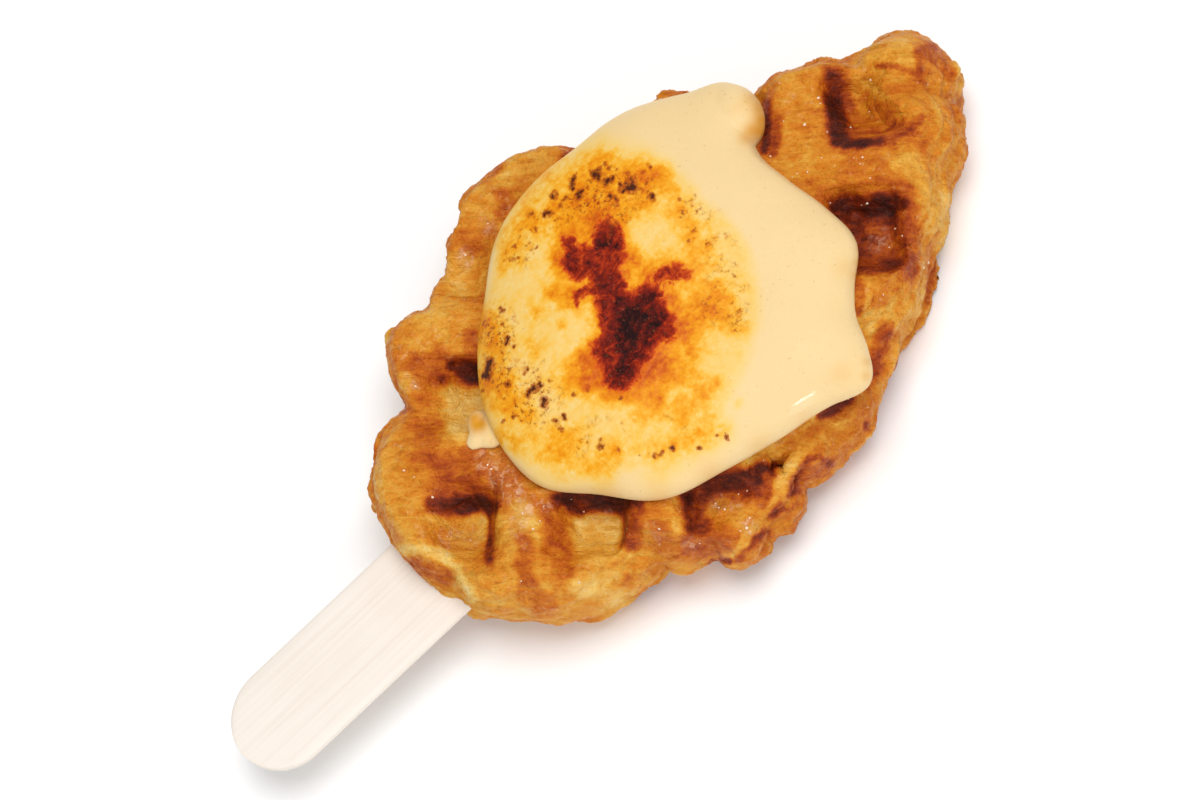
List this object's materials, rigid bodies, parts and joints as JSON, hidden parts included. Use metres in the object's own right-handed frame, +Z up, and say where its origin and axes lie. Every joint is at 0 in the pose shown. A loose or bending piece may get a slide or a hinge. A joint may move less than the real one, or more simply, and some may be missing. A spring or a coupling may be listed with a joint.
{
  "type": "croffle on a stick",
  "caption": "Croissant dough pressed in a square waffle iron, with a blob of torched cream on top and a flat wooden stick in one end, lying flat.",
  "frame": {"origin": "bottom centre of the whole object's box, on the surface that it lies on", "axes": "+X runs along the stick towards the pastry's tip, +Z is up through the cream, and +Y is across the pastry"},
  "size_m": [0.1606, 0.0818, 0.029],
  "materials": {
    "baked_dough": "browned flaky crust with a slight butter shine",
    "torched_cream": "soft satin cream, scorched brown in patches",
    "birch_wood": "bare sanded birch"
  },
  "bodies": {
    "root": {"croffle": "baked_dough", "cream": "torched_cream", "stick": "birch_wood"}
  },
  "joints": []
}
